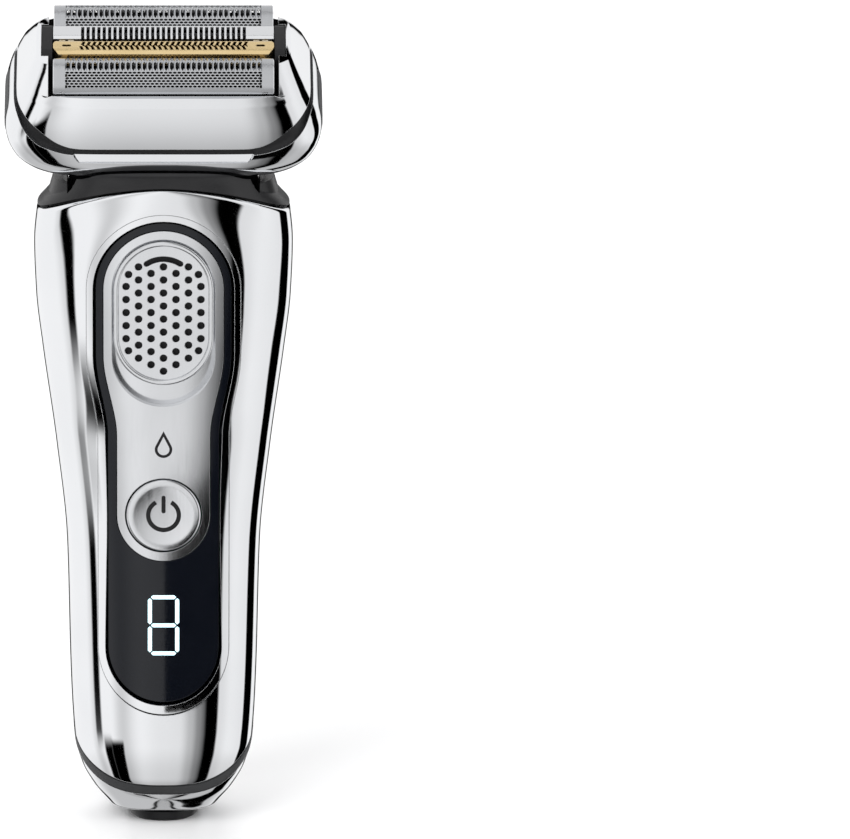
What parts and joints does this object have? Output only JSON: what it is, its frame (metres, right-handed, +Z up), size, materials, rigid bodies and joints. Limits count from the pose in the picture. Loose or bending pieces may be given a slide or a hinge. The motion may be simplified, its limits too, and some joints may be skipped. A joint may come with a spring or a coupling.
{
  "type": "foil shaver",
  "caption": "Hand-held foil shaver: chrome tapered body, display, power button and head lock, swivelling head with floating foils, lift-off cassette and pop-up hair trimmer.",
  "frame": {"origin": "on the floor under the foot, at the bottom centre of the bounding box", "axes": "+Z up along the body towards the head; the control panel faces -Y; +X to the right of someone facing the panel"},
  "size_m": [0.0616, 0.0362, 0.1607],
  "materials": {
    "chrome": "mirror-bright chrome plating",
    "satin": "fine satin silver",
    "steel": "bright steel",
    "gold": "satin gold coating",
    "lens": "dark glossy window",
    "dark_plastic": "fine matte texture",
    "black_plastic": "satin black",
    "rubber": "soft matte rubber",
    "copper": "enamelled copper wire",
    "board": "green circuit board",
    "cell": "shrink-wrapped cell"
  },
  "bodies": {
    "handle": {"front_shell": "chrome", "rear_shell": "dark_plastic", "rear_grip": "rubber", "bezel": "chrome", "control_panel": "satin", "display_lens": "lens", "display_module": "black_plastic", "tact_switch": "black_plastic", "foot": "black_plastic", "base_ring": "chrome", "base_seal": "rubber", "charge_socket": "black_plastic", "contact_pin_left": "steel", "contact_pin_right": "steel", "inner_chassis": "black_plastic", "circuit_board": "board", "chassis_screw_left": "steel", "chassis_screw_right": "steel", "battery": "cell", "motor_stator": "steel", "motor_coil": "copper", "collar": "black_plastic", "neck_dome": "black_plastic", "neck_seal": "rubber", "swivel_pin_left": "steel", "swivel_pin_right": "steel", "swivel_spring": "steel"},
    "power": {"power_button": "satin"},
    "head_lock": {"lock_slider": "satin", "lock_bar": "steel"},
    "armature": {"armature": "steel", "drive_pin": "steel"},
    "balance": {"counterweight": "steel"},
    "hair_trimmer": {"trimmer_carriage": "dark_plastic", "trimmer_comb": "steel", "trimmer_thumb": "black_plastic"},
    "hair_blade": {"trimmer_blade": "steel"},
    "head": {"head_frame": "chrome", "head_tray": "black_plastic"},
    "release_left": {"release_button_left": "dark_plastic", "release_spring_left": "steel"},
    "release_right": {"release_button_right": "dark_plastic", "release_spring_right": "steel"},
    "bridge": {"drive_bridge": "black_plastic"},
    "cassette": {"cassette_frame": "chrome", "cassette_core": "black_plastic"},
    "front_foil_unit": {"foil_front": "steel", "float_spring_foil_front": "steel"},
    "front_cutter": {"cutter_front": "steel"},
    "rear_foil_unit": {"foil_rear": "steel", "float_spring_foil_rear": "steel"},
    "rear_cutter": {"cutter_rear": "steel"},
    "lift_unit": {"lift_trimmer": "gold", "float_spring_lift": "steel"},
    "lift_cutter": {"lift_blade": "steel"},
    "guard_unit": {"skin_guard": "chrome", "float_spring_guard": "steel"},
    "guard_cutter": {"guard_blade": "steel"}
  },
  "joints": [
    {"name": "head_swivel", "type": "hinge", "parent": "handle", "child": "head", "pos_m": [0, 0.00254, 0.13411], "axis": [1, 0, 0], "range_deg": [-32, 0], "stiffness_Nm_per_rad": 0.4},
    {"name": "power_press", "type": "slide", "parent": "handle", "child": "power", "axis": [0, 1, 0], "range_m": [0, 0.0005], "stiffness_N_per_m": 1500, "springref_m": -0.0005},
    {"name": "lock_slide", "type": "slide", "parent": "handle", "child": "head_lock", "axis": [0, 0, -1], "range_m": [0, 0.0041]},
    {"name": "armature_swing", "type": "slide", "parent": "handle", "child": "armature", "axis": [1, 0, 0], "range_m": [-0.0011, 0.0011], "stiffness_N_per_m": 600},
    {"name": "balance_swing", "type": "slide", "parent": "handle", "child": "balance", "axis": [1, 0, 0], "range_m": [-0.0011, 0.0011]},
    {"name": "hair_trimmer_slide", "type": "slide", "parent": "handle", "child": "hair_trimmer", "axis": [0, 0, 1], "range_m": [0, 0.013]},
    {"name": "hair_blade_swing", "type": "slide", "parent": "hair_trimmer", "child": "hair_blade", "axis": [1, 0, 0], "range_m": [-0.0011, 0.0011]},
    {"name": "release_left_press", "type": "slide", "parent": "head", "child": "release_left", "axis": [1, 0, 0], "range_m": [0, 0.0008], "stiffness_N_per_m": 1200, "springref_m": -0.001},
    {"name": "release_right_press", "type": "slide", "parent": "head", "child": "release_right", "axis": [-1, 0, 0], "range_m": [0, 0.0008], "stiffness_N_per_m": 1200, "springref_m": -0.001},
    {"name": "bridge_swing", "type": "slide", "parent": "head", "child": "bridge", "axis": [1, 0, 0], "range_m": [-0.0011, 0.0011]},
    {"name": "cassette_lift", "type": "slide", "parent": "head", "child": "cassette", "axis": [0, -0.342, 0.9397], "range_m": [0, 0.015]},
    {"name": "front_foil_float", "type": "slide", "parent": "cassette", "child": "front_foil_unit", "axis": [0, 0.342, -0.9397], "range_m": [0, 0.0015], "stiffness_N_per_m": 400, "springref_m": -0.001},
    {"name": "front_foil_swing", "type": "slide", "parent": "front_foil_unit", "child": "front_cutter", "axis": [1, 0, 0], "range_m": [-0.0011, 0.0011]},
    {"name": "rear_foil_float", "type": "slide", "parent": "cassette", "child": "rear_foil_unit", "axis": [0, 0.342, -0.9397], "range_m": [0, 0.0015], "stiffness_N_per_m": 400, "springref_m": -0.001},
    {"name": "rear_foil_swing", "type": "slide", "parent": "rear_foil_unit", "child": "rear_cutter", "axis": [1, 0, 0], "range_m": [-0.0011, 0.0011]},
    {"name": "lift_float", "type": "slide", "parent": "cassette", "child": "lift_unit", "axis": [0, 0.342, -0.9397], "range_m": [0, 0.0015], "stiffness_N_per_m": 400, "springref_m": -0.001},
    {"name": "lift_swing", "type": "slide", "parent": "lift_unit", "child": "lift_cutter", "axis": [1, 0, 0], "range_m": [-0.0011, 0.0011]},
    {"name": "guard_float", "type": "slide", "parent": "cassette", "child": "guard_unit", "axis": [0, 0.342, -0.9397], "range_m": [0, 0.0015], "stiffness_N_per_m": 400, "springref_m": -0.001},
    {"name": "guard_swing", "type": "slide", "parent": "guard_unit", "child": "guard_cutter", "axis": [1, 0, 0], "range_m": [-0.0011, 0.0011]}
  ],
  "couplings": [
    {"joint": "balance_swing", "follows": "armature_swing", "ratio": -1},
    {"joint": "bridge_swing", "follows": "armature_swing", "ratio": 1},
    {"joint": "hair_blade_swing", "follows": "armature_swing", "ratio": 1},
    {"joint": "front_foil_swing", "follows": "armature_swing", "ratio": 1},
    {"joint": "rear_foil_swing", "follows": "armature_swing", "ratio": 1},
    {"joint": "lift_swing", "follows": "armature_swing", "ratio": 1},
    {"joint": "guard_swing", "follows": "armature_swing", "ratio": 1}
  ]
}
